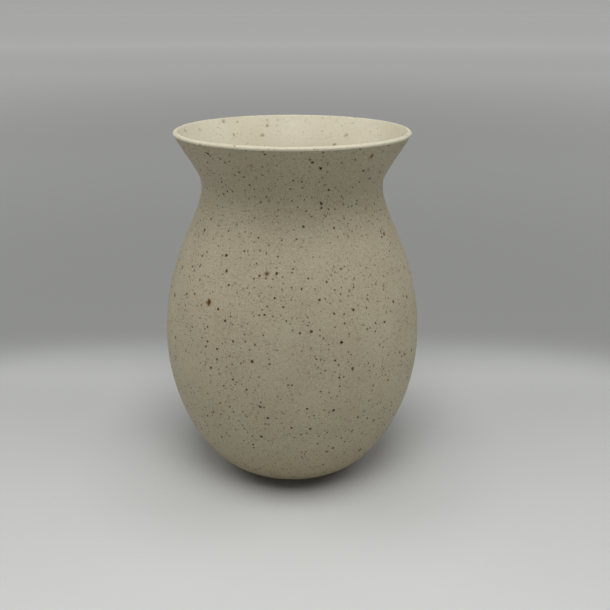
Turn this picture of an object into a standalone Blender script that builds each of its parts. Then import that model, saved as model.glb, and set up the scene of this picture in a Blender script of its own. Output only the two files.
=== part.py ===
"""Wheel-thrown stoneware vase: one clay body, a liner glaze inside it and a matt glaze outside it.

Metres, +Z up. The origin is on the pot's axis, on the surface that its foot stands on. Every outline is a
list of (radius, height) points, and each piece is such an outline turned once round the axis.
"""

import math

import bmesh
import bpy
from mathutils import Vector

for old in list(bpy.data.objects):
    bpy.data.objects.remove(old, do_unlink=True)

# Outline of the finished pot, to its outer face.
HEIGHT = 0.192
RIM_RADIUS = 0.0622
RIM_LEAN = math.radians(30.2)  # lean of the flared wall from upright, where it meets the lip
NECK_RADIUS = 0.0485
NECK_DROP = 0.0283  # from the top of the lip down to the narrowest place
BELLY_RADIUS = 0.071
BELLY_HEIGHT = 0.077
FOOT_RADIUS = 0.034
FOOT_HEIGHT = 0.0015
HULL_RISE = math.radians(14)  # slope of the hull above level, where it leaves the foot

# How full each curve is: the share of its own width or height for which it keeps its end's direction.
HULL_SPREAD = 0.52
HULL_FULLNESS = 0.46
SHOULDER_FULLNESS = 0.55
NECK_EASE = 0.215
WAIST_EASE = 0.235
FLARE_STRAIGHTNESS = 0.68
BOWL_SPREAD = 0.62
BOWL_FULLNESS = 0.52

# Thicknesses.
CLAY_WALL = 0.0038  # at the belly
CLAY_LIP = 0.0014  # at the lip, after an even taper from the belly
FLOOR = 0.006
COAT = 0.0003  # each glaze coat
BOND = 0.0003  # kept clear between a coat and the clay, and where the two coats meet

# Inside floor, trimmed foot and the bare band above it.
FLOOR_FLAT_RADIUS = 0.022
FOOT_RECESS = 0.002
FOOT_RING_WIDTH = 0.006
FOOT_CHAMFER = 0.0006
BARE_CLAY = 0.0015  # height of the bare band between the foot and the outside glaze

# Facets: round the axis, up each curve and over the lip.
SEGMENTS = 48
HULL_STEPS = 10
SHOULDER_STEPS = 10
FLARE_STEPS = 8
LIP_STEPS = 6
SHARP_ANGLE = math.radians(40)
MERGE_DISTANCE = 0.000001

UP = Vector((0, 1))
LIP_RADIUS = CLAY_LIP / 2 + BOND + COAT
LIP_CENTRE = Vector((RIM_RADIUS - LIP_RADIUS, HEIGHT - LIP_RADIUS))
WALL_OUT = Vector((math.cos(RIM_LEAN), -math.sin(RIM_LEAN)))
WALL_UP = Vector((math.sin(RIM_LEAN), math.cos(RIM_LEAN)))
FLOOR_TOP = FOOT_RECESS + FLOOR

foot = Vector((FOOT_RADIUS, FOOT_HEIGHT))
belly = Vector((BELLY_RADIUS, BELLY_HEIGHT))
neck = Vector((NECK_RADIUS, HEIGHT - NECK_DROP))
flare_top = LIP_CENTRE + WALL_OUT * LIP_RADIUS
floor_edge = Vector((FLOOR_FLAT_RADIUS, FLOOR_TOP))
bowl_top = belly - Vector((COAT + BOND + CLAY_WALL, 0))


def hull_curve():
    """The outer face from the foot up to the belly."""
    width, height = belly - foot
    leave = Vector((math.cos(HULL_RISE), math.sin(HULL_RISE)))
    return foot, foot + leave * width * HULL_SPREAD, belly - UP * height * HULL_FULLNESS, belly


def shoulder_curve():
    """The outer face from the belly in to the neck."""
    height = neck.y - belly.y
    return belly, belly + UP * height * SHOULDER_FULLNESS, neck - UP * height * NECK_EASE, neck


def flare_curve():
    """The outer face from the neck out to the lip."""
    height = flare_top.y - neck.y
    bend = neck + UP * height * WAIST_EASE
    return neck, bend, flare_top - WALL_UP * height * FLARE_STRAIGHTNESS, flare_top


def bowl_curve():
    """The clay's inner face from the flat of the floor up to the belly."""
    width, height = bowl_top - floor_edge
    spread = Vector((width * BOWL_SPREAD, 0))
    return floor_edge, floor_edge + spread, bowl_top - UP * height * BOWL_FULLNESS, bowl_top


def curve_at(curve, share):
    """The point of a Bezier curve at a share of its run, and the normal there, pointing out of the pot."""
    a, b, c, d = curve
    ab, bc, cd = a.lerp(b, share), b.lerp(c, share), c.lerp(d, share)
    abc, bcd = ab.lerp(bc, share), bc.lerp(cd, share)
    along = (bcd - abc).normalized()
    return abc.lerp(bcd, share), Vector((along.y, -along.x))


def inset_at(curve, share, depth):
    """A point of a curve, moved into the pot by depth(height)."""
    point, normal = curve_at(curve, share)
    return point - normal * depth(point.y)


def inset(curve, steps, depth, start=0.0):
    """Such points up a curve, from the share start of its run to its end."""
    return [inset_at(curve, start + (1 - start) * step / steps, depth) for step in range(steps + 1)]


def share_at_height(curve, height):
    """The share of a rising curve's run at which it reaches a height, by halving."""
    low, high = 0.0, 1.0
    for _ in range(30):
        middle = (low + high) / 2
        if curve_at(curve, middle)[0].y < height:
            low = middle
        else:
            high = middle
    return low


def clay_thickness(height):
    """The thrown wall thins evenly from the belly up to the lip."""
    share = (height - belly.y) / (flare_top.y - belly.y)
    return CLAY_WALL + (CLAY_LIP - CLAY_WALL) * min(max(share, 0.0), 1.0)


def upper_face(depth):
    """Points from the belly up to the lip, at depth(height) under the outer face."""
    shoulder = inset(shoulder_curve(), SHOULDER_STEPS, depth)
    flare = inset(flare_curve(), FLARE_STEPS, depth)
    return shoulder + flare[1:]


def inner_face(lift):
    """Points from the axis along the inside, up to the lip, at a height lift above the clay."""
    bowl = inset(bowl_curve(), HULL_STEPS, lambda height: lift)
    upper = upper_face(lambda height: COAT + BOND + clay_thickness(height) + lift)
    return [Vector((0, FLOOR_TOP + lift))] + bowl + upper[1:]


def outer_face(depth):
    """Points from the lip down the outside to the bare band. The clay and its coat share their heights."""
    start = share_at_height(hull_curve(), FOOT_HEIGHT + BARE_CLAY)
    hull = inset(hull_curve(), HULL_STEPS, lambda height: depth, start)
    upper = upper_face(lambda height: depth)
    return list(reversed(hull + upper[1:]))


def lip_arc(radius, stop_short=0.0):
    """Points over the lip, between its ends, from the inner side to the outer one."""
    first = math.pi - RIM_LEAN
    turn = math.pi - stop_short
    angles = [first - turn * step / LIP_STEPS for step in range(1, LIP_STEPS + 1)]
    return [LIP_CENTRE + radius * Vector((math.cos(angle), math.sin(angle))) for angle in angles]


def turned(name, outline, material):
    """An object made by turning an outline once round the axis. One that is off the axis is a closed loop."""
    mesh = bmesh.new()
    verts = [mesh.verts.new((point.x, 0, point.y)) for point in outline]
    ends = list(zip(verts, verts[1:]))
    if outline[0].x > 0:
        ends.append((verts[-1], verts[0]))
    profile = verts + [mesh.edges.new(pair) for pair in ends]
    axis = {"axis": (0, 0, 1), "cent": (0, 0, 0)}
    bmesh.ops.spin(mesh, geom=profile, steps=SEGMENTS, angle=math.tau, use_merge=True, **axis)
    bmesh.ops.remove_doubles(mesh, verts=mesh.verts, dist=MERGE_DISTANCE)
    bmesh.ops.recalc_face_normals(mesh, faces=mesh.faces)
    data = bpy.data.meshes.new(name)
    mesh.to_mesh(data)
    mesh.free()
    data.shade_smooth()
    data.set_sharp_from_angle(angle=SHARP_ANGLE)
    data.materials.append(material)
    piece = bpy.data.objects.new(name, data)
    bpy.context.collection.objects.link(piece)
    return piece


def ceramic(name, colour, roughness):
    """A fired surface with no metal in it."""
    material = bpy.data.materials.new(name)
    material.use_nodes = True
    shader = material.node_tree.nodes["Principled BSDF"]
    shader.inputs["Base Color"].default_value = (*colour, 1)
    shader.inputs["Roughness"].default_value = roughness
    shader.inputs["Metallic"].default_value = 0
    return material


def clay_outline():
    """From the axis on the floor, up the inside, over the lip, down the outside and in under the foot."""
    crease = inset_at(hull_curve(), 0, lambda height: COAT + BOND)
    ring_outer = crease.x
    ring_inner = ring_outer - FOOT_RING_WIDTH
    under = [
        crease,
        Vector((ring_outer, FOOT_CHAMFER)),
        Vector((ring_outer - FOOT_CHAMFER, 0)),
        Vector((ring_inner + FOOT_CHAMFER, 0)),
        Vector((ring_inner, FOOT_CHAMFER)),
        Vector((ring_inner, FOOT_RECESS)),
        Vector((0, FOOT_RECESS)),
    ]
    return inner_face(0) + lip_arc(CLAY_LIP / 2) + outer_face(COAT + BOND)[1:] + under


def liner_outline():
    """The coat's exposed face from the axis up and over the lip, then its back down to the axis."""
    stop_short = BOND / LIP_RADIUS
    exposed = inner_face(BOND + COAT) + lip_arc(LIP_RADIUS, stop_short)
    back = inner_face(BOND) + lip_arc(CLAY_LIP / 2 + BOND, stop_short)
    return exposed + list(reversed(back))


def outside_coat_outline():
    """The coat's exposed face from the lip down to the bare band, then its back up to the lip."""
    return outer_face(0) + list(reversed(outer_face(COAT)))


turned("clay_body", clay_outline(), ceramic("speckled_clay", (0.42, 0.34, 0.25), 0.85))
turned("inside_glaze", liner_outline(), ceramic("liner_glaze", (0.66, 0.60, 0.46), 0.35))
turned("outside_glaze", outside_coat_outline(), ceramic("matt_glaze", (0.55, 0.50, 0.38), 0.5))
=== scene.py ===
"""A wheel-thrown stoneware vase in speckled clay, with a liner glaze inside and a matt glaze outside.

Metres, +Z up. Each piece is an outline of (radius, height) points, turned once round the pot's axis.
"""

import math

import bmesh
import bpy
import numpy as np
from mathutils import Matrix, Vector


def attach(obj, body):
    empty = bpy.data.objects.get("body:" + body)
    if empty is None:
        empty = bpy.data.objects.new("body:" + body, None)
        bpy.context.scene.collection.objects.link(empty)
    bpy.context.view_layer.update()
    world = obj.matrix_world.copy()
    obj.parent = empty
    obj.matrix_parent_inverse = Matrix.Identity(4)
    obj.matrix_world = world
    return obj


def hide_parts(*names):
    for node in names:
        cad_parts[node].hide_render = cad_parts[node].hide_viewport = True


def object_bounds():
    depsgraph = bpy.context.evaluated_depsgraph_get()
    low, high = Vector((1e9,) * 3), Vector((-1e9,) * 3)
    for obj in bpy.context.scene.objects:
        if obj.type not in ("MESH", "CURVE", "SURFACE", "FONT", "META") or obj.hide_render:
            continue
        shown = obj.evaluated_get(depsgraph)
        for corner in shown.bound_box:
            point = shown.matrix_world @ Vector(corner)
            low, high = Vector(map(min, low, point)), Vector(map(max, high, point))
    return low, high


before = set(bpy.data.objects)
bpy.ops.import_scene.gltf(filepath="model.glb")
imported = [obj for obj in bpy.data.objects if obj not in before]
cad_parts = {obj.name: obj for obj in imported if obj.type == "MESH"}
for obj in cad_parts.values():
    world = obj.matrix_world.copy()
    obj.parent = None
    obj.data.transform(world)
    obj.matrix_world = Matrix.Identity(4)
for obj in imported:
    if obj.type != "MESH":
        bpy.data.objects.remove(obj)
pot_low, pot_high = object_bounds()

# ---- The camera: a normal lens, a little above the rim and looking down at the belly.
VIEW_DISTANCE = 0.4268  # from the pot's axis, along the table
VIEW_HEIGHT = 0.2493
VIEW_PITCH = math.radians(20.07)
VIEW_SHIFT = 0.021
LENS = 47.2  # millimetres, as the sensor's width is
SENSOR_WIDTH = 36
NEAREST = 0.01

camera_data = bpy.data.cameras.new("camera")
camera_data.lens = LENS
camera_data.sensor_width = SENSOR_WIDTH
camera_data.shift_x = VIEW_SHIFT
camera_data.clip_start = NEAREST
camera = bpy.data.objects.new("camera", camera_data)
camera.location = (0, -VIEW_DISTANCE, VIEW_HEIGHT)
camera.rotation_euler = (math.pi / 2 - VIEW_PITCH, 0, 0)
bpy.context.collection.objects.link(camera)
bpy.context.scene.camera = camera
bpy.context.scene.view_settings.view_transform = "Standard"

# ---- Clay body: one piece of speckled stoneware, thrown on a wheel, its foot trimmed when leather-hard.
# Only the foot and a narrow band above it are left bare. The rest is under glaze.
RIM_RADIUS = 0.0622
NECK_RADIUS = 0.0485
NECK_DROP = 0.0283
BELLY_HEIGHT = 0.077
FOOT_RADIUS = 0.034
FOOT_HEIGHT = 0.0015
HULL_RISE = math.radians(14)
RIM_LEAN = math.radians(30.2)
# How full each curve is: the share of its own width or height for which it keeps its end's direction.
HULL_SPREAD = 0.52
HULL_FULLNESS = 0.46
SHOULDER_FULLNESS = 0.55
NECK_EASE = 0.215
WAIST_EASE = 0.235
FLARE_STRAIGHTNESS = 0.68
BOWL_SPREAD = 0.62
BOWL_FULLNESS = 0.52
# Thicknesses, the floor and the foot.
CLAY_WALL = 0.004
CLAY_LIP = 0.0016
LIP_SQUARE = 2.7  # 2 is a round lip, and more is squarer
COAT = 0.0005
SINK = 0.0001  # how far each coat's back lies in the clay, so that no light gets between them
FLOOR_FLAT_RADIUS = 0.022
FLOOR_TOP = 0.0081
FOOT_RECESS = 0.002
RECESS_DOME = 0.0006  # how much deeper the recess is in its middle
RECESS_LEAN = 0.0003  # how far its wall leans in
FOOT_RING_WIDTH = 0.006
FOOT_ROUNDING = 0.0007
FOOT_SIDE_HEIGHTS = (0.0016, 0.0012)
BARE_CLAY = 0.0015
# The trimming lines: two sets that cross, and how strongly they show at the foot's side and its corners.
TRIM_PITCH = 0.0011
CROSS_PITCH = 0.0019
CROSS_SHARE = 0.6
TRIM_DEPTH = 0.00003
SIDE_SHOW = 0.6
CORNER_SHOW = 0.3
# Roughly each curve's length in millimetres. Times the rows in a millimetre, it gives the number of rows.
HULL_LENGTH = 88
SHOULDER_LENGTH = 88
FLARE_LENGTH = 30
BOWL_LENGTH = 90
HIDDEN_DETAIL = 0.35  # rows in a millimetre of a face that another piece covers
FLOOR_ROWS = 20
LIP_ROWS = 8
CORNER_ROWS = 6
BARE_ROWS = 12
RECESS_ROWS = 110
CLAY_SEGMENTS = 160
# The clay's colours.
TOASTED = (0.36, 0.27, 0.18, 1)
PALE_CLAY = (0.45, 0.35, 0.24, 1)
SAND = (0.56, 0.47, 0.35, 1)
CLAY_IRON = (0.035, 0.022, 0.014, 1)
UP = Vector((0, 1))

lip_radius = CLAY_LIP / 2 + COAT
lip_centre = Vector((RIM_RADIUS - lip_radius, pot_high.z - lip_radius))
wall_out = Vector((math.cos(RIM_LEAN), -math.sin(RIM_LEAN)))
wall_up = Vector((math.sin(RIM_LEAN), math.cos(RIM_LEAN)))
foot = Vector((FOOT_RADIUS, FOOT_HEIGHT))
belly = Vector((pot_high.x, BELLY_HEIGHT))
neck = Vector((NECK_RADIUS, pot_high.z - NECK_DROP))
flare_top = lip_centre + wall_out * lip_radius
floor_edge = Vector((FLOOR_FLAT_RADIUS, FLOOR_TOP))
bowl_top = belly - Vector((COAT + CLAY_WALL, 0))


def curve(start, leave, arrive, end):
    """A function from a share of the run to the point there and the normal out of the pot: a Bezier curve."""

    def at(share):
        ab, bc, cd = start.lerp(leave, share), leave.lerp(arrive, share), arrive.lerp(end, share)
        abc, bcd = ab.lerp(bc, share), bc.lerp(cd, share)
        along = (bcd - abc).normalized()
        return abc.lerp(bcd, share), Vector((along.y, -along.x))

    return at


hull_leave = Vector((math.cos(HULL_RISE), math.sin(HULL_RISE))) * (belly.x - foot.x) * HULL_SPREAD
hull = curve(foot, foot + hull_leave, belly - UP * (belly.y - foot.y) * HULL_FULLNESS, belly)
shoulder_run = UP * (neck.y - belly.y)
shoulder_leave = belly + shoulder_run * SHOULDER_FULLNESS
shoulder = curve(belly, shoulder_leave, neck - shoulder_run * NECK_EASE, neck)
flare_run = flare_top.y - neck.y
flare_arrive = flare_top - wall_up * flare_run * FLARE_STRAIGHTNESS
flare = curve(neck, neck + UP * flare_run * WAIST_EASE, flare_arrive, flare_top)
bowl_leave = floor_edge + Vector(((bowl_top.x - floor_edge.x) * BOWL_SPREAD, 0))
bowl = curve(floor_edge, bowl_leave, bowl_top - UP * (bowl_top.y - floor_edge.y) * BOWL_FULLNESS, bowl_top)

SHARE_STEP = 0.001


def share_at(run, height):
    """The share of a rising curve's run at which it reaches a height."""
    share = 0.0
    while run(share)[0].y < height:
        share += SHARE_STEP
    return share


def clay_thickness(height):
    """The thrown wall thins evenly from the belly up to the lip."""
    share = (height - belly.y) / (flare_top.y - belly.y)
    return CLAY_WALL + (CLAY_LIP - CLAY_WALL) * min(max(share, 0.0), 1.0)


def under(run, steps, depth, start=0.0, show=1.0):
    """Rows up a curve, at a depth or depth(height) under it. A row is (point, normal, show).

    Show is how strongly the surface's relief shows there.
    """
    rows = []
    for step in range(steps + 1):
        point, normal = run(start + (1 - start) * step / steps)
        below = depth(point.y) if callable(depth) else depth
        rows.append((point - normal * below, normal, show))
    return rows


def upper(detail, depth, show=1.0):
    """Rows from the belly up to the lip. Detail is the number of rows in a millimetre."""
    over_shoulder = under(shoulder, round(SHOULDER_LENGTH * detail), depth, show=show)
    return over_shoulder + under(flare, round(FLARE_LENGTH * detail), depth, show=show)[1:]


def inner(detail, lift, show=1.0):
    """Rows from the axis across the floor and up the inside to the lip, at a lift above the clay."""
    radii = [FLOOR_FLAT_RADIUS * step / FLOOR_ROWS for step in range(FLOOR_ROWS)]
    flat = [(Vector((radius, FLOOR_TOP + lift)), Vector((0, -1)), show) for radius in radii]
    side = under(bowl, round(BOWL_LENGTH * detail), lift, show=show)
    top = upper(detail, lambda height: COAT + clay_thickness(height) + lift, show)
    return [(point, -normal, show) for point, normal, _ in flat + side + top[1:]]


def outer(detail, depth, start, show=1.0):
    """Rows from the lip down the outside, ending at the share start of the hull's run."""
    side = under(hull, round(HULL_LENGTH * detail), depth, start, show)
    return list(reversed(side + upper(detail, depth, show)[1:]))


def over_lip(half, steps, turn, show=1.0):
    """Rows over the lip, from its inner side to a turn of at most pi. The lip is a little square."""
    rows = []
    for step in range(steps + 1):
        across, up = -math.cos(turn * step / steps), math.sin(turn * step / steps)
        place = math.copysign(abs(across) ** (2 / LIP_SQUARE), across), abs(up) ** (2 / LIP_SQUARE)
        facing = math.copysign(abs(place[0]) ** (LIP_SQUARE - 1), across), place[1] ** (LIP_SQUARE - 1)
        normal = (wall_out * facing[0] + wall_up * facing[1]).normalized()
        rows.append((lip_centre + (wall_out * place[0] + wall_up * place[1]) * half, normal, show))
    return rows

AXIS_REACH = 0.000001  # a row this close to the axis lies on it
WELD_REACH = 0.0000001


def turned(name, rows, segments, relief):
    """A closed skin: rows turned round the axis, and moved along their normals by the relief.

    Relief is a function of the angle, the run along the rows and the height.
    """
    points = np.array([[*point] for point, _, _ in rows])
    normals = np.array([[*normal] for _, normal, _ in rows])
    show = np.array([[shown] for _, _, shown in rows])
    run = np.concatenate([[0], np.cumsum(np.linalg.norm(np.diff(points, axis=0), axis=1))])[:, None]
    angle = np.linspace(0, math.tau, segments, endpoint=False)[None, :]
    moved = relief(angle, run, points[:, 1:]) * show
    on_axis = points[:, :1] < AXIS_REACH
    radius = np.where(on_axis, 0, points[:, :1] + moved * normals[:, :1])
    height = points[:, 1:] + np.where(on_axis, 0, moved * normals[:, 1:])
    corners = np.stack([radius * np.cos(angle), radius * np.sin(angle), height + 0 * angle], axis=-1)
    ring = np.arange(segments)
    starts = np.arange(len(rows) if points[0, 0] > 0 else len(rows) - 1)[:, None] * segments
    after = (starts + segments) % (len(rows) * segments)
    beside = (ring + 1) % segments
    quads = np.stack([starts + ring, starts + beside, after + beside, after + ring], -1)
    mesh = bpy.data.meshes.new(name)
    mesh.from_pydata(corners.reshape(-1, 3), [], quads.reshape(-1, 4))
    welded = bmesh.new()
    welded.from_mesh(mesh)
    bmesh.ops.remove_doubles(welded, verts=welded.verts, dist=WELD_REACH)
    bmesh.ops.recalc_face_normals(welded, faces=welded.faces)
    welded.to_mesh(mesh)
    welded.free()
    mesh.shade_smooth()
    piece = bpy.data.objects.new(name, mesh)
    bpy.context.collection.objects.link(piece)
    return piece

DRIFT_WAVES = 6


def drift(angle, run, seed):
    """A slow wander between -1 and 1 over the surface, from a few sine waves with seeded phases."""
    random = np.random.default_rng(seed)
    total = 0
    for _ in range(DRIFT_WAVES):
        turns, rise = random.integers(0, 4), random.uniform(-120, 120)
        total = total + np.sin(turns * angle + rise * run + random.uniform(0, math.tau))
    return total / DRIFT_WAVES


class Wire:
    """An output of a material's nodes. Arithmetic on it adds Math nodes, and add() adds any other node."""

    def __init__(self, tree, socket=None):
        self.tree = tree
        self.socket = socket

    def add(self, kind, inputs, output=0, **settings):
        node = self.tree.nodes.new("ShaderNode" + kind)
        for name, setting in settings.items():
            setattr(node, name, setting)
        for name, value in inputs.items():
            if isinstance(value, Wire):
                self.tree.links.new(value.socket, node.inputs[name])
            else:
                node.inputs[name].default_value = value
        return Wire(self.tree, node.outputs[output])

    def other(self, output):
        return Wire(self.tree, self.socket.node.outputs[output])

    def math(self, operation, *values):
        return self.add("Math", dict(enumerate(values)), operation=operation)

    def __add__(self, value):
        return self.math("ADD", self, value)

    def __sub__(self, value):
        return self.math("SUBTRACT", self, value)

    def __rsub__(self, value):
        return self.math("SUBTRACT", value, self)

    def __mul__(self, value):
        return self.math("MULTIPLY", self, value)

    def __truediv__(self, value):
        return self.math("DIVIDE", self, value)

    def __rtruediv__(self, value):
        return self.math("DIVIDE", value, self)

    __radd__ = __add__
    __rmul__ = __mul__

    def between(self, low, high):
        """0 below low, 1 above high and a soft step from one to the other. Low may be the larger."""
        limits = {"Value": self, "From Min": low, "From Max": high}
        return self.add("MapRange", limits, interpolation_type="SMOOTHSTEP")

    def blend(self, under_colour, over_colour):
        """The one colour where this is 0 and the other where it is 1."""
        return self.add("Mix", {0: self, 6: under_colour, 7: over_colour}, output=2, data_type="RGBA")

    def noise(self, size, detail=2.0, roughness=0.5):
        """Noise of a grain size in metres, on this vector."""
        inputs = {"Vector": self, "Scale": 1 / size, "Detail": detail, "Roughness": roughness}
        return self.add("TexNoise", inputs)


def surface(name):
    """A new material, its Principled shader, and the place on the object that its patterns are read at."""
    material = bpy.data.materials.new(name)
    material.use_nodes = True
    shader = material.node_tree.nodes["Principled BSDF"]
    here = Wire(material.node_tree).add("TexCoord", {}, output="Object")
    return material, shader, here


def connect(shader, **sockets):
    """Links wires to a shader's sockets, or sets them to plain numbers."""
    for name, value in sockets.items():
        socket = shader.inputs[name.replace("_", " ").title()]
        if isinstance(value, Wire):
            value.tree.links.new(value.socket, socket)
        else:
            socket.default_value = value

CROWD_SIZE = 0.018  # the distance over which grains crowd together and thin out
RAGGEDNESS = 1.5
SMALLEST_GRAIN = 0.35  # as a share of the largest


def grains(here, spacing, size, share, seed, edge=0.25):
    """Iron grains as balls scattered through the body, seen where the surface cuts them.

    Spacing and size are in metres, share is the part of the cells that hold a grain, and edge is how soft
    its rim is. Returns the grains' mask and each grain's own random number.
    """
    ragged = here.noise(size * 0.8)
    crowd = here.noise(CROWD_SIZE)
    shifted = here.add("VectorMath", {0: here, 1: (seed, seed * 0.7, seed * 1.3)}, operation="ADD")
    cell = shifted.add("TexVoronoi", {"Vector": shifted, "Scale": 1 / spacing}, voronoi_dimensions="3D")
    chance = cell.other("Color").add("SeparateColor", {"Color": cell.other("Color")})
    distance = cell * spacing + (ragged - 0.5) * size * RAGGEDNESS
    radius = chance * size * (1 - SMALLEST_GRAIN) + size * SMALLEST_GRAIN
    ball = (distance / radius).between(1 + edge, 1 - edge)
    held = (crowd * share * 2 - chance.other("Green")).between(-0.01, 0.01)
    return ball * held, chance.other("Blue")


def clay_relief(angle, run, height):
    """Trimming lines that the tool leaves round the foot and under it."""
    lines = np.sin(math.tau * run / TRIM_PITCH + angle)
    lines = lines + CROSS_SHARE * np.sin(math.tau * run / CROSS_PITCH + 2 * angle)
    return TRIM_DEPTH * lines * (0.6 + 0.4 * drift(angle, run, 5))


def foot_corner(centre, first):
    """Rows round a quarter of a circle under the foot ring, from the angle first."""
    rows = []
    for step in range(CORNER_ROWS + 1):
        angle = first - math.pi / 2 * step / CORNER_ROWS
        normal = Vector((math.cos(angle), math.sin(angle)))
        rows.append((centre + FOOT_ROUNDING * normal, normal, CORNER_SHOW))
    return rows


glaze_start = share_at(hull, FOOT_HEIGHT + BARE_CLAY)
clay_rows = inner(HIDDEN_DETAIL, 0, 0) + over_lip(CLAY_LIP / 2, LIP_ROWS, math.pi, 0)[1:]
clay_rows += outer(HIDDEN_DETAIL, COAT, glaze_start, 0)[1:]
for share in np.linspace(glaze_start, 0, BARE_ROWS)[1:]:
    point, normal = hull(share)
    clay_rows.append((point - normal * COAT, normal, SIDE_SHOW))
crease = clay_rows[-1][0]
ring_in = crease.x - FOOT_RING_WIDTH
clay_rows += [(Vector((crease.x, height)), Vector((1, 0)), SIDE_SHOW) for height in FOOT_SIDE_HEIGHTS]
clay_rows += foot_corner(Vector((crease.x - FOOT_ROUNDING, FOOT_ROUNDING)), 0)
clay_rows += foot_corner(Vector((ring_in + FOOT_ROUNDING, FOOT_ROUNDING)), -math.pi / 2)
for step in range(RECESS_ROWS + 1):
    radius = (ring_in - RECESS_LEAN) * (1 - step / RECESS_ROWS)
    depth = FOOT_RECESS + RECESS_DOME * (1 - radius / ring_in) ** 2
    clay_rows.append((Vector((radius, depth)), Vector((0, -1)), 1.0))
clay_body = turned("clay_pot", clay_rows, CLAY_SEGMENTS, clay_relief)

clay, shader, here = surface("speckled_clay")
dark, _ = grains(here, spacing=0.0042, size=0.0007, share=0.55, seed=3.1)
sand = here.noise(size=0.0006, detail=3.0, roughness=0.65)
warmth = here.noise(size=0.02, detail=3.0)
body_colour = warmth.between(0.3, 0.7).blend(TOASTED, PALE_CLAY)
body_colour = (sand.between(0.45, 0.75) * 0.35).blend(body_colour, SAND)
body_colour = (dark * 0.85).blend(body_colour, CLAY_IRON)
skin = sand + dark * 0.5
skin_bump = here.add("Bump", {"Height": skin, "Distance": 0.00012, "Strength": 0.8}, output="Normal")
connect(shader, base_color=body_colour, roughness=sand * 0.15 + 0.75, normal=skin_bump)
shader.inputs["Specular IOR Level"].default_value = 0.25
clay_body.data.materials.append(clay)
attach(clay_body, "root")
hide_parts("clay_body")

# ---- Inside glaze: the liner, poured in and swilled round, then wiped over the lip. It is fired to a satin
# cream, and the iron under it bleeds into soft yellow-brown spots. Finger rings of the throwing show.
LINER_SEGMENTS = 180
LINER_DETAIL = 1.55  # rows in a millimetre
LINER_LIP_ROWS = 44
LIP_COVER = math.pi - 0.04  # the liner stops just short of the outside glaze
# Throwing rings: below the neck and above it.
NECK_LEVEL = 0.15
LOW_RING_PITCH = 0.0048
HIGH_RING_PITCH = 0.0026
LOW_RING_DEPTH = 0.00009
HIGH_RING_DEPTH = 0.00004
RING_FADE = 0.004  # the rings fade out over this height under the lip
HAND_DRIFT = 0.00005
LINER_DULL = (0.665, 0.612, 0.46, 1)
LINER_CREAM = (0.71, 0.66, 0.508, 1)
DEEP_SHADE_CREAM = (0.54, 0.485, 0.36, 1)  # painted shade: the inside darker further down, where less light reaches
BLEED = (0.47, 0.385, 0.2, 1)
HALO = (0.2, 0.155, 0.035, 1)
SOFT_GRAIN = (0.22, 0.165, 0.05, 1)


def liner_relief(angle, run, height):
    """Throwing rings that climb the inside as one spiral, deeper on the floor and finer near the lip."""
    pitch = np.where(height > NECK_LEVEL, HIGH_RING_PITCH, LOW_RING_PITCH)
    ring = np.sin(math.tau * run / pitch - angle)
    depth = np.where(height > NECK_LEVEL, HIGH_RING_DEPTH, LOW_RING_DEPTH)
    fade = np.clip((lip_centre.y - height) / RING_FADE, 0, 1)
    return depth * ring * fade * (0.6 + 0.4 * drift(angle, run, 11)) + HAND_DRIFT * drift(angle, run, 12)


liner_rows = inner(LINER_DETAIL, COAT) + over_lip(lip_radius, LINER_LIP_ROWS, LIP_COVER)[1:]
liner_back = inner(HIDDEN_DETAIL, -SINK, 0) + over_lip(CLAY_LIP / 2 - SINK, LIP_ROWS, LIP_COVER, 0)[1:]
liner_rows += list(reversed(liner_back))
inside_glaze = turned("liner_glaze", liner_rows, LINER_SEGMENTS, liner_relief)

liner, shader, here = surface("liner_glaze")
halo, halo_tone = grains(here, spacing=0.0055, size=0.0014, share=0.5, seed=1.7, edge=0.6)
grain, grain_tone = grains(here, spacing=0.0019, size=0.0006, share=0.5, seed=5.3, edge=0.7)
bleed = here.noise(size=0.0012, detail=3.0, roughness=0.65)
cloud = here.noise(size=0.03, detail=3.0)
cream = cloud.between(0.3, 0.7).blend(LINER_DULL, LINER_CREAM)
# Painted shade: the liner is coloured darker from the lip down into the neck, standing in for the shade deep
# inside.
painted_deep_shade = here.add("SeparateXYZ", {"Vector": here}, output="Z").between(0.19, 0.166)
cream = (painted_deep_shade * 0.8).blend(cream, DEEP_SHADE_CREAM)
cream = (bleed.between(0.5, 0.72) * 0.3).blend(cream, BLEED)
cream = (halo * (halo_tone * 0.5 + 0.4)).blend(cream, HALO)
cream = (grain * (grain_tone * 0.45 + 0.1)).blend(cream, SOFT_GRAIN)
skin = here.noise(size=0.0018) * 0.6 + here.noise(size=0.0006) * 0.2
skin_bump = here.add("Bump", {"Height": skin, "Distance": 0.00005, "Strength": 0.6}, output="Normal")
connect(shader, base_color=cream, roughness=cloud * 0.12 + 0.45, normal=skin_bump)
inside_glaze.data.materials.append(liner)
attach(inside_glaze, "root")
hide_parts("inside_glaze")

# ---- Outside glaze: a matt cream glaze, dipped from just under the lip to a line above the foot. The iron in
# the clay burns through it as dark, crisp specks, a few of them large and rusty at the edge.
COAT_SEGMENTS = 192
COAT_DETAIL = 1.75  # rows in a millimetre
BEAD_ROWS = 6
# Finger ribs: two sets that climb together, and how they fade out at the lip and the foot.
RIB_PITCH = 0.0021
WIDE_RIB_PITCH = 0.0034
WIDE_RIB_SHARE = 0.7
RIB_DEPTH = 0.00003
LIP_FADE = 0.006
FOOT_FADE = 0.01
COAT_DRIFT = 0.00002
OVAL = 0.00002  # how far the pot is from round
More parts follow.
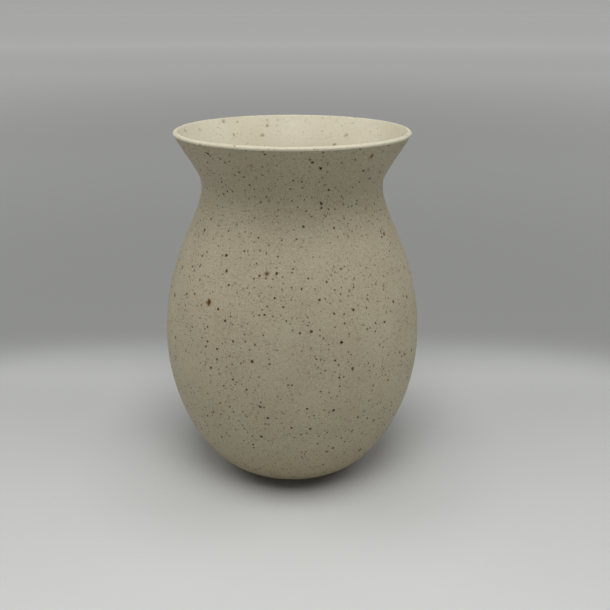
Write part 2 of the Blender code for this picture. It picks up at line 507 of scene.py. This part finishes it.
# The largest burn: its turn round the pot from the front, and how far its edge strays.
BURN_TURN = math.radians(-39)
BURN_HEIGHT = 0.1135
BURN_SIZE = 0.0018
WANDER = 0.0016
MATT_DULL = (0.40, 0.35, 0.242, 1)
MATT_CREAM = (0.44, 0.392, 0.278, 1)
FOOT_SHADE_CREAM = (0.35, 0.285, 0.175, 1)  # painted shade: darker low down, where the hull turns under towards the table
DARK_GRIT = (0.2, 0.172, 0.115, 1)
LIGHT_GRIT = (0.6, 0.55, 0.42, 1)
FAINT_SPECK = (0.15, 0.12, 0.07, 1)
SPECK = (0.062, 0.042, 0.016, 1)
BLACK_IRON = (0.035, 0.021, 0.005, 1)
BROWN_IRON = (0.09, 0.05, 0.013, 1)
LARGE_SPECK = (0.02, 0.012, 0.003, 1)
RUST = (0.22, 0.13, 0.035, 1)
RUST_HEART = (0.06, 0.03, 0.007, 1)
BURN_RUST = (0.33, 0.19, 0.05, 1)
BURN_HEART = (0.045, 0.022, 0.005, 1)


def coat_relief(angle, run, height):
    """Faint ribs of the potter's fingers, climbing as a spiral, and a trace of the hand in the roundness."""
    rib = np.sin(math.tau * run / RIB_PITCH + angle)
    rib = rib + WIDE_RIB_SHARE * np.sin(math.tau * run / WIDE_RIB_PITCH + angle)
    patch = 0.5 + 0.5 * drift(angle, run, 21)
    top_end = np.clip((lip_centre.y - height) / LIP_FADE, 0, 1)
    ends = top_end * np.clip((height - FOOT_HEIGHT) / FOOT_FADE, 0, 1)
    ribs = RIB_DEPTH * rib * patch + COAT_DRIFT * drift(angle, run, 22)
    return ends * ribs + OVAL * np.cos(2 * angle + 0.6)


coat_rows = outer(COAT_DETAIL, 0, glaze_start)
last_point, last_normal, _ = coat_rows[-1]
along = Vector((last_normal.y, -last_normal.x))
for step in range(1, BEAD_ROWS + 1):
    turn = math.pi / 2 * step / BEAD_ROWS
    bead = last_point - last_normal * COAT * (1 - math.cos(turn)) + along * COAT * math.sin(turn)
    coat_rows.append((bead, last_normal, 0.0))
coat_rows += list(reversed(outer(HIDDEN_DETAIL, COAT + SINK, glaze_start, 0)))
outside_glaze = turned("outside_coat", coat_rows, COAT_SEGMENTS, coat_relief)

matt, shader, here = surface("matt_glaze")
coarse, coarse_tone = grains(here, spacing=0.0042, size=0.00085, share=0.45, seed=2.3)
medium, medium_tone = grains(here, spacing=0.0023, size=0.0006, share=0.6, seed=7.9)
fine, fine_tone = grains(here, spacing=0.0014, size=0.00045, share=0.6, seed=4.4, edge=0.5)
large, _ = grains(here, spacing=0.0105, size=0.00095, share=0.5, seed=6.2)
rust, _ = grains(here, spacing=0.0165, size=0.0015, share=0.8, seed=9.4, edge=0.5)
rust_heart, _ = grains(here, spacing=0.0165, size=0.0009, share=0.8, seed=9.4, edge=0.4)
grit = here.noise(size=0.0009, roughness=0.6)
light_grit = here.noise(size=0.0007, roughness=0.6)
burn_radius = shoulder(share_at(shoulder, BURN_HEIGHT))[0].x
burn_place = (burn_radius * math.sin(BURN_TURN), -burn_radius * math.cos(BURN_TURN), BURN_HEIGHT)
stray = here.noise(size=0.0014).other("Color")
wander = here.add("VectorMath", {0: stray, 1: (0.5, 0.5, 0.5)}, operation="SUBTRACT")
wander = here.add("VectorMath", {0: wander, "Scale": WANDER * 2}, operation="SCALE")
near = here.add("VectorMath", {0: here, 1: wander}, operation="ADD")
burn = here.add("VectorMath", {0: near, 1: burn_place}, output="Value", operation="DISTANCE") / BURN_SIZE
cloud = here.noise(size=0.022, detail=4.0, roughness=0.6)
cream = cloud.between(0.3, 0.7).blend(MATT_DULL, MATT_CREAM)
# Painted shade: the glaze is coloured darker and warmer towards the foot, standing in for the shade under the
# curve.
painted_foot_shade = here.add("SeparateXYZ", {"Vector": here}, output="Z").between(0.045, 0.008)
cream = (painted_foot_shade * 0.7).blend(cream, FOOT_SHADE_CREAM)
cream = (grit.between(0.48, 0.72) * 0.36).blend(cream, DARK_GRIT)
cream = (light_grit.between(0.48, 0.7) * 0.45).blend(cream, LIGHT_GRIT)
cream = (fine * (fine_tone * 0.5 + 0.2)).blend(cream, FAINT_SPECK)
cream = (medium * (medium_tone * 0.45 + 0.55)).blend(cream, SPECK)
iron = coarse_tone.between(0.55, 0.85).blend(BLACK_IRON, BROWN_IRON)
cream = (coarse * (coarse_tone * 0.15 + 0.85)).blend(cream, iron)
cream = (rust * 0.7).blend(cream, RUST)
cream = (rust_heart * 0.85).blend(cream, RUST_HEART)
cream = (large * 0.97).blend(cream, LARGE_SPECK)
cream = (burn.between(1.5, 0.7) * 0.75).blend(cream, BURN_RUST)
cream = (burn.between(1.0, 0.5) * 0.9).blend(cream, BURN_HEART)
specks = coarse.math("MAXIMUM", coarse, large)
skin = here.noise(size=0.0016, detail=3.0, roughness=0.6) * 0.6
skin = skin + here.noise(size=0.0005) * 0.35 - specks * 0.8
skin_bump = here.add("Bump", {"Height": skin, "Distance": 0.00007, "Strength": 0.7}, output="Normal")
connect(shader, base_color=cream, roughness=cloud * 0.14 + 0.48 + specks * 0.1, normal=skin_bump)
shader.inputs["Specular IOR Level"].default_value = 0.2
outside_glaze.data.materials.append(matt)
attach(outside_glaze, "root")
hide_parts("outside_glaze")

# ---- Studio: a plain table whose colour paints the fall-off of light, pale in front and grey behind the pot. One broad soft
# light hangs high in front, with a weaker one on each side, and the walls give an even light that is
# brightest low down.
FLOOR_SIZE = 200.0
FLOOR_GAP = 0.00003  # the trimming lines under the foot stay clear of the table
LIGHT_DISTANCE = 3.0
LIGHT_SIZE = 1.7
# Each light: its name, its turn round the pot and its rise in degrees, and its power in watts.
LIGHTS = [("key", 0, 70, 57.5), ("left", -100, 42, 21.5), ("right", 100, 42, 19.5)]
WALLS = 0.186  # how bright the walls are, up to where they pale towards the horizon
HORIZON = (0.384, 0.388, 0.379, 1)
# The table's colours paint the fall-off of light: pale in front of the pot, darker beside it and in a painted
# shadow band behind it, and bright again far off where the lamps don't reach.
TABLE_MIDDLE = (0, -0.12, 0)
TABLE_NEAR = (0.60, 0.605, 0.592, 1)
TABLE_BESIDE = (0.46, 0.467, 0.455, 1)
TABLE_BEHIND = (0.27, 0.275, 0.267, 1)
TABLE_BEYOND = (0.36, 0.366, 0.356, 1)
TABLE_FAR = (0.87, 0.88, 0.86, 1)
FAR_PAINTED_GLOW = (0.222, 0.224, 0.219, 1)  # painted light: the far end of the table glows as bright as the walls
BLACK = (0, 0, 0, 1)

floor_mesh = bpy.data.meshes.new("floor")
half = FLOOR_SIZE / 2
corners = [(-half, -half, 0), (half, -half, 0), (half, half, 0), (-half, half, 0)]
floor_mesh.from_pydata(corners, [], [(0, 1, 2, 3)])
floor = bpy.data.objects.new("floor", floor_mesh)
floor.location.z = -FLOOR_GAP
bpy.context.collection.objects.link(floor)
table, shader, here = surface("table")
away = here.add("VectorMath", {0: here, 1: TABLE_MIDDLE}, output="Value", operation="DISTANCE")
back = here.add("SeparateXYZ", {"Vector": here}, output="Y")
shade = back.between(-0.06, 0.08).blend(TABLE_NEAR, TABLE_BESIDE)
shade = back.between(0.1, 0.2).blend(shade, TABLE_BEHIND)
shade = away.between(0.3, 0.42).blend(shade, TABLE_BEHIND)
shade = away.between(0.4, 1.3).blend(shade, TABLE_BEYOND)
shade = away.between(1.0, 4.0).blend(shade, TABLE_FAR)
# Painted shadow: the table is coloured darker round the pot's base.
painted_base_shadow = here.add("VectorMath", {0: here}, output="Value", operation="LENGTH").between(0.14, 0.05)
shade = (painted_base_shadow * 0.15).blend(shade, BLACK)
# Painted light: the far table emits light of its own to match the walls' brightness.
painted_far_glow = away.between(1.0, 7.0).blend(BLACK, FAR_PAINTED_GLOW)
connect(shader, base_color=shade, roughness=0.8, emission_color=painted_far_glow)
shader.inputs["Emission Strength"].default_value = 1.0
shader.inputs["Specular IOR Level"].default_value = 0.2
floor_mesh.materials.append(table)

for name, degrees, rise, power in LIGHTS:
    turn, rise = math.radians(degrees), math.radians(rise)
    towards = Vector((math.sin(turn) * math.cos(rise), -math.cos(turn) * math.cos(rise), math.sin(rise)))
    lamp_data = bpy.data.lights.new(name, "AREA")
    lamp_data.size = LIGHT_SIZE
    lamp_data.energy = power
    lamp = bpy.data.objects.new(name, lamp_data)
    lamp.location = towards * LIGHT_DISTANCE
    lamp.rotation_euler = towards.to_track_quat("Z", "Y").to_euler()
    bpy.context.collection.objects.link(lamp)

world = bpy.data.worlds.new("studio")
world.use_nodes = True
horizon = Wire(world.node_tree).add("TexCoord", {}, output="Generated")
horizon = horizon.add("SeparateXYZ", {"Vector": horizon}, output="Z").between(0.1, 0.0)
walls = horizon.blend((WALLS, WALLS, WALLS, 1), HORIZON)
connect(world.node_tree.nodes["Background"], color=walls, strength=1.0)
bpy.context.scene.world = world
